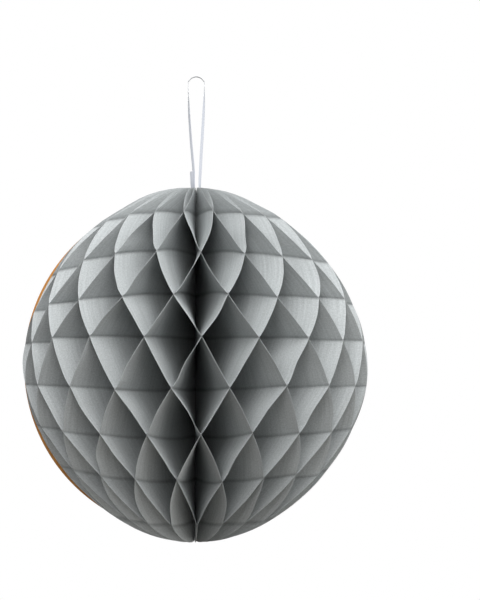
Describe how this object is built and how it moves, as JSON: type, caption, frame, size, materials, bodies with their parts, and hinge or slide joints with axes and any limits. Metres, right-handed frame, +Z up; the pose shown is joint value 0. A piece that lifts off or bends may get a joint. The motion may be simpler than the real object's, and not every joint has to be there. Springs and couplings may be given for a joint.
{
  "type": "paper honeycomb ball",
  "caption": "Hanging paper honeycomb ball: glued paper leaves fan out round a thread spine, closed by card covers, on a ribbon loop.",
  "frame": {"origin": "the top of the ribbon loop, where the ball is held", "axes": "+Z up, -Y the front; the spine lies along Z under the origin"},
  "size_m": [0.3488, 0.3488, 0.4793],
  "materials": {
    "paper": "matte",
    "card": "matte",
    "ribbon": "satin",
    "thread": "matte",
    "adhesive": "satin"
  },
  "bodies": {
    "hanger": {"ribbon_loop": "ribbon"},
    "eye": {"thread_eye": "thread"},
    "spine": {"spine_thread": "thread", "spine_knot": "thread"},
    "cover_front": {"cover_front": "card"},
    "cover_back": {"cover_back": "card", "adhesive_strip_upper": "adhesive", "adhesive_strip_lower": "adhesive"},
    "leaf_01": {"leaf_01": "paper"},
    "leaf_02": {"leaf_02": "paper"},
    "leaf_03": {"leaf_03": "paper"},
    "leaf_04": {"leaf_04": "paper"},
    "leaf_05": {"leaf_05": "paper"},
    "leaf_06": {"leaf_06": "paper"},
    "leaf_07": {"leaf_07": "paper"},
    "leaf_08": {"leaf_08": "paper"},
    "leaf_09": {"leaf_09": "paper"},
    "leaf_10": {"leaf_10": "paper"},
    "leaf_11": {"leaf_11": "paper"},
    "leaf_12": {"leaf_12": "paper"},
    "leaf_13": {"leaf_13": "paper"},
    "leaf_14": {"leaf_14": "paper"},
    "leaf_15": {"leaf_15": "paper"},
    "leaf_16": {"leaf_16": "paper"},
    "leaf_17": {"leaf_17": "paper"},
    "leaf_18": {"leaf_18": "paper"},
    "leaf_19": {"leaf_19": "paper"},
    "leaf_20": {"leaf_20": "paper"},
    "leaf_21": {"leaf_21": "paper"},
    "leaf_22": {"leaf_22": "paper"},
    "leaf_23": {"leaf_23": "paper"},
    "leaf_24": {"leaf_24": "paper"},
    "leaf_25": {"leaf_25": "paper"},
    "leaf_26": {"leaf_26": "paper"},
    "leaf_27": {"leaf_27": "paper"},
    "leaf_28": {"leaf_28": "paper"},
    "leaf_29": {"leaf_29": "paper"},
    "leaf_30": {"leaf_30": "paper"},
    "leaf_31": {"leaf_31": "paper"},
    "leaf_32": {"leaf_32": "paper"},
    "leaf_33": {"leaf_33": "paper"},
    "leaf_34": {"leaf_34": "paper"},
    "leaf_35": {"leaf_35": "paper"},
    "leaf_36": {"leaf_36": "paper"},
    "leaf_37": {"leaf_37": "paper"},
    "leaf_38": {"leaf_38": "paper"},
    "leaf_39": {"leaf_39": "paper"},
    "leaf_40": {"leaf_40": "paper"},
    "leaf_41": {"leaf_41": "paper"},
    "leaf_42": {"leaf_42": "paper"}
  },
  "joints": [
    {"name": "swing_fore_aft", "type": "hinge", "parent": "hanger", "child": "eye", "pos_m": [0, 0, -0.1225], "axis": [1, 0, 0], "range_deg": [-20, 20]},
    {"name": "swing_sideways", "type": "hinge", "parent": "eye", "child": "spine", "pos_m": [0, 0, -0.1225], "axis": [0, 1, 0], "range_deg": [-20, 20]},
    {"name": "spin", "type": "hinge", "parent": "spine", "child": "cover_front", "pos_m": [0, 0, -0.1225], "axis": [0, 0, 1], "continuous": true},
    {"name": "fold", "type": "hinge", "parent": "cover_front", "child": "cover_back", "pos_m": [0, 0, -0.1225], "axis": [0, 0, -1], "range_deg": [0, 352]},
    {"name": "fold_leaf_01", "type": "hinge", "parent": "cover_front", "child": "leaf_01", "pos_m": [0, 0, -0.1225], "axis": [0, 0, -1], "range_deg": [0, 4.69], "deforming": ["leaf_01"]},
    {"name": "fold_leaf_02", "type": "hinge", "parent": "cover_front", "child": "leaf_02", "pos_m": [0, 0, -0.1225], "axis": [0, 0, -1], "range_deg": [0, 13.07], "deforming": ["leaf_02"]},
    {"name": "fold_leaf_03", "type": "hinge", "parent": "cover_front", "child": "leaf_03", "pos_m": [0, 0, -0.1225], "axis": [0, 0, -1], "range_deg": [0, 21.45], "deforming": ["leaf_03"]},
    {"name": "fold_leaf_04", "type": "hinge", "parent": "cover_front", "child": "leaf_04", "pos_m": [0, 0, -0.1225], "axis": [0, 0, -1], "range_deg": [0, 29.83], "deforming": ["leaf_04"]},
    {"name": "fold_leaf_05", "type": "hinge", "parent": "cover_front", "child": "leaf_05", "pos_m": [0, 0, -0.1225], "axis": [0, 0, -1], "range_deg": [0, 38.21], "deforming": ["leaf_05"]},
    {"name": "fold_leaf_06", "type": "hinge", "parent": "cover_front", "child": "leaf_06", "pos_m": [0, 0, -0.1225], "axis": [0, 0, -1], "range_deg": [0, 46.59], "deforming": ["leaf_06"]},
    {"name": "fold_leaf_07", "type": "hinge", "parent": "cover_front", "child": "leaf_07", "pos_m": [0, 0, -0.1225], "axis": [0, 0, -1], "range_deg": [0, 54.98], "deforming": ["leaf_07"]},
    {"name": "fold_leaf_08", "type": "hinge", "parent": "cover_front", "child": "leaf_08", "pos_m": [0, 0, -0.1225], "axis": [0, 0, -1], "range_deg": [0, 63.36], "deforming": ["leaf_08"]},
    {"name": "fold_leaf_09", "type": "hinge", "parent": "cover_front", "child": "leaf_09", "pos_m": [0, 0, -0.1225], "axis": [0, 0, -1], "range_deg": [0, 71.74], "deforming": ["leaf_09"]},
    {"name": "fold_leaf_10", "type": "hinge", "parent": "cover_front", "child": "leaf_10", "pos_m": [0, 0, -0.1225], "axis": [0, 0, -1], "range_deg": [0, 80.12], "deforming": ["leaf_10"]},
    {"name": "fold_leaf_11", "type": "hinge", "parent": "cover_front", "child": "leaf_11", "pos_m": [0, 0, -0.1225], "axis": [0, 0, -1], "range_deg": [0, 88.5], "deforming": ["leaf_11"]},
    {"name": "fold_leaf_12", "type": "hinge", "parent": "cover_front", "child": "leaf_12", "pos_m": [0, 0, -0.1225], "axis": [0, 0, -1], "range_deg": [0, 96.88], "deforming": ["leaf_12"]},
    {"name": "fold_leaf_13", "type": "hinge", "parent": "cover_front", "child": "leaf_13", "pos_m": [0, 0, -0.1225], "axis": [0, 0, -1], "range_deg": [0, 105.26], "deforming": ["leaf_13"]},
    {"name": "fold_leaf_14", "type": "hinge", "parent": "cover_front", "child": "leaf_14", "pos_m": [0, 0, -0.1225], "axis": [0, 0, -1], "range_deg": [0, 113.64], "deforming": ["leaf_14"]},
    {"name": "fold_leaf_15", "type": "hinge", "parent": "cover_front", "child": "leaf_15", "pos_m": [0, 0, -0.1225], "axis": [0, 0, -1], "range_deg": [0, 122.02], "deforming": ["leaf_15"]},
    {"name": "fold_leaf_16", "type": "hinge", "parent": "cover_front", "child": "leaf_16", "pos_m": [0, 0, -0.1225], "axis": [0, 0, -1], "range_deg": [0, 130.41], "deforming": ["leaf_16"]},
    {"name": "fold_leaf_17", "type": "hinge", "parent": "cover_front", "child": "leaf_17", "pos_m": [0, 0, -0.1225], "axis": [0, 0, -1], "range_deg": [0, 138.79], "deforming": ["leaf_17"]},
    {"name": "fold_leaf_18", "type": "hinge", "parent": "cover_front", "child": "leaf_18", "pos_m": [0, 0, -0.1225], "axis": [0, 0, -1], "range_deg": [0, 147.17], "deforming": ["leaf_18"]},
    {"name": "fold_leaf_19", "type": "hinge", "parent": "cover_front", "child": "leaf_19", "pos_m": [0, 0, -0.1225], "axis": [0, 0, -1], "range_deg": [0, 155.55], "deforming": ["leaf_19"]},
    {"name": "fold_leaf_20", "type": "hinge", "parent": "cover_front", "child": "leaf_20", "pos_m": [0, 0, -0.1225], "axis": [0, 0, -1], "range_deg": [0, 163.93], "deforming": ["leaf_20"]},
    {"name": "fold_leaf_21", "type": "hinge", "parent": "cover_front", "child": "leaf_21", "pos_m": [0, 0, -0.1225], "axis": [0, 0, -1], "range_deg": [0, 172.31], "deforming": ["leaf_21"]},
    {"name": "fold_leaf_22", "type": "hinge", "parent": "cover_front", "child": "leaf_22", "pos_m": [0, 0, -0.1225], "axis": [0, 0, -1], "range_deg": [0, 180.69], "deforming": ["leaf_22"]},
    {"name": "fold_leaf_23", "type": "hinge", "parent": "cover_front", "child": "leaf_23", "pos_m": [0, 0, -0.1225], "axis": [0, 0, -1], "range_deg": [0, 189.07], "deforming": ["leaf_23"]},
    {"name": "fold_leaf_24", "type": "hinge", "parent": "cover_front", "child": "leaf_24", "pos_m": [0, 0, -0.1225], "axis": [0, 0, -1], "range_deg": [0, 197.45], "deforming": ["leaf_24"]},
    {"name": "fold_leaf_25", "type": "hinge", "parent": "cover_front", "child": "leaf_25", "pos_m": [0, 0, -0.1225], "axis": [0, 0, -1], "range_deg": [0, 205.83], "deforming": ["leaf_25"]},
    {"name": "fold_leaf_26", "type": "hinge", "parent": "cover_front", "child": "leaf_26", "pos_m": [0, 0, -0.1225], "axis": [0, 0, -1], "range_deg": [0, 214.21], "deforming": ["leaf_26"]},
    {"name": "fold_leaf_27", "type": "hinge", "parent": "cover_front", "child": "leaf_27", "pos_m": [0, 0, -0.1225], "axis": [0, 0, -1], "range_deg": [0, 222.59], "deforming": ["leaf_27"]},
    {"name": "fold_leaf_28", "type": "hinge", "parent": "cover_front", "child": "leaf_28", "pos_m": [0, 0, -0.1225], "axis": [0, 0, -1], "range_deg": [0, 230.98], "deforming": ["leaf_28"]},
    {"name": "fold_leaf_29", "type": "hinge", "parent": "cover_front", "child": "leaf_29", "pos_m": [0, 0, -0.1225], "axis": [0, 0, -1], "range_deg": [0, 239.36], "deforming": ["leaf_29"]},
    {"name": "fold_leaf_30", "type": "hinge", "parent": "cover_front", "child": "leaf_30", "pos_m": [0, 0, -0.1225], "axis": [0, 0, -1], "range_deg": [0, 247.74], "deforming": ["leaf_30"]},
    {"name": "fold_leaf_31", "type": "hinge", "parent": "cover_front", "child": "leaf_31", "pos_m": [0, 0, -0.1225], "axis": [0, 0, -1], "range_deg": [0, 256.12], "deforming": ["leaf_31"]},
    {"name": "fold_leaf_32", "type": "hinge", "parent": "cover_front", "child": "leaf_32", "pos_m": [0, 0, -0.1225], "axis": [0, 0, -1], "range_deg": [0, 264.5], "deforming": ["leaf_32"]},
    {"name": "fold_leaf_33", "type": "hinge", "parent": "cover_front", "child": "leaf_33", "pos_m": [0, 0, -0.1225], "axis": [0, 0, -1], "range_deg": [0, 272.88], "deforming": ["leaf_33"]},
    {"name": "fold_leaf_34", "type": "hinge", "parent": "cover_front", "child": "leaf_34", "pos_m": [0, 0, -0.1225], "axis": [0, 0, -1], "range_deg": [0, 281.26], "deforming": ["leaf_34"]},
    {"name": "fold_leaf_35", "type": "hinge", "parent": "cover_front", "child": "leaf_35", "pos_m": [0, 0, -0.1225], "axis": [0, 0, -1], "range_deg": [0, 289.64], "deforming": ["leaf_35"]},
    {"name": "fold_leaf_36", "type": "hinge", "parent": "cover_front", "child": "leaf_36", "pos_m": [0, 0, -0.1225], "axis": [0, 0, -1], "range_deg": [0, 298.02], "deforming": ["leaf_36"]},
    {"name": "fold_leaf_37", "type": "hinge", "parent": "cover_front", "child": "leaf_37", "pos_m": [0, 0, -0.1225], "axis": [0, 0, -1], "range_deg": [0, 306.4], "deforming": ["leaf_37"]},
    {"name": "fold_leaf_38", "type": "hinge", "parent": "cover_front", "child": "leaf_38", "pos_m": [0, 0, -0.1225], "axis": [0, 0, -1], "range_deg": [0, 314.79], "deforming": ["leaf_38"]},
    {"name": "fold_leaf_39", "type": "hinge", "parent": "cover_front", "child": "leaf_39", "pos_m": [0, 0, -0.1225], "axis": [0, 0, -1], "range_deg": [0, 323.17], "deforming": ["leaf_39"]},
    {"name": "fold_leaf_40", "type": "hinge", "parent": "cover_front", "child": "leaf_40", "pos_m": [0, 0, -0.1225], "axis": [0, 0, -1], "range_deg": [0, 331.55], "deforming": ["leaf_40"]},
    {"name": "fold_leaf_41", "type": "hinge", "parent": "cover_front", "child": "leaf_41", "pos_m": [0, 0, -0.1225], "axis": [0, 0, -1], "range_deg": [0, 339.93], "deforming": ["leaf_41"]},
    {"name": "fold_leaf_42", "type": "hinge", "parent": "cover_front", "child": "leaf_42", "pos_m": [0, 0, -0.1225], "axis": [0, 0, -1], "range_deg": [0, 348.31], "deforming": ["leaf_42"]}
  ],
  "couplings": [
    {"joint": "fold_leaf_01", "follows": "fold", "ratio": 0.011905},
    {"joint": "fold_leaf_02", "follows": "fold", "ratio": 0.035714},
    {"joint": "fold_leaf_03", "follows": "fold", "ratio": 0.059524},
    {"joint": "fold_leaf_04", "follows": "fold", "ratio": 0.083333},
    {"joint": "fold_leaf_05", "follows": "fold", "ratio": 0.10714},
    {"joint": "fold_leaf_06", "follows": "fold", "ratio": 0.13095},
    {"joint": "fold_leaf_07", "follows": "fold", "ratio": 0.15476},
    {"joint": "fold_leaf_08", "follows": "fold", "ratio": 0.17857},
    {"joint": "fold_leaf_09", "follows": "fold", "ratio": 0.20238},
    {"joint": "fold_leaf_10", "follows": "fold", "ratio": 0.22619},
    {"joint": "fold_leaf_11", "follows": "fold", "ratio": 0.25},
    {"joint": "fold_leaf_12", "follows": "fold", "ratio": 0.27381},
    {"joint": "fold_leaf_13", "follows": "fold", "ratio": 0.29762},
    {"joint": "fold_leaf_14", "follows": "fold", "ratio": 0.32143},
    {"joint": "fold_leaf_15", "follows": "fold", "ratio": 0.34524},
    {"joint": "fold_leaf_16", "follows": "fold", "ratio": 0.36905},
    {"joint": "fold_leaf_17", "follows": "fold", "ratio": 0.39286},
    {"joint": "fold_leaf_18", "follows": "fold", "ratio": 0.41667},
    {"joint": "fold_leaf_19", "follows": "fold", "ratio": 0.44048},
    {"joint": "fold_leaf_20", "follows": "fold", "ratio": 0.46429},
    {"joint": "fold_leaf_21", "follows": "fold", "ratio": 0.4881},
    {"joint": "fold_leaf_22", "follows": "fold", "ratio": 0.51191},
    {"joint": "fold_leaf_23", "follows": "fold", "ratio": 0.53571},
    {"joint": "fold_leaf_24", "follows": "fold", "ratio": 0.55952},
    {"joint": "fold_leaf_25", "follows": "fold", "ratio": 0.58333},
    {"joint": "fold_leaf_26", "follows": "fold", "ratio": 0.60714},
    {"joint": "fold_leaf_27", "follows": "fold", "ratio": 0.63095},
    {"joint": "fold_leaf_28", "follows": "fold", "ratio": 0.65476},
    {"joint": "fold_leaf_29", "follows": "fold", "ratio": 0.67857},
    {"joint": "fold_leaf_30", "follows": "fold", "ratio": 0.70238},
    {"joint": "fold_leaf_31", "follows": "fold", "ratio": 0.72619},
    {"joint": "fold_leaf_32", "follows": "fold", "ratio": 0.75},
    {"joint": "fold_leaf_33", "follows": "fold", "ratio": 0.77381},
    {"joint": "fold_leaf_34", "follows": "fold", "ratio": 0.79762},
    {"joint": "fold_leaf_35", "follows": "fold", "ratio": 0.82143},
    {"joint": "fold_leaf_36", "follows": "fold", "ratio": 0.84524},
    {"joint": "fold_leaf_37", "follows": "fold", "ratio": 0.86905},
    {"joint": "fold_leaf_38", "follows": "fold", "ratio": 0.89286},
    {"joint": "fold_leaf_39", "follows": "fold", "ratio": 0.91667},
    {"joint": "fold_leaf_40", "follows": "fold", "ratio": 0.94048},
    {"joint": "fold_leaf_41", "follows": "fold", "ratio": 0.96429},
    {"joint": "fold_leaf_42", "follows": "fold", "ratio": 0.98809}
  ]
}
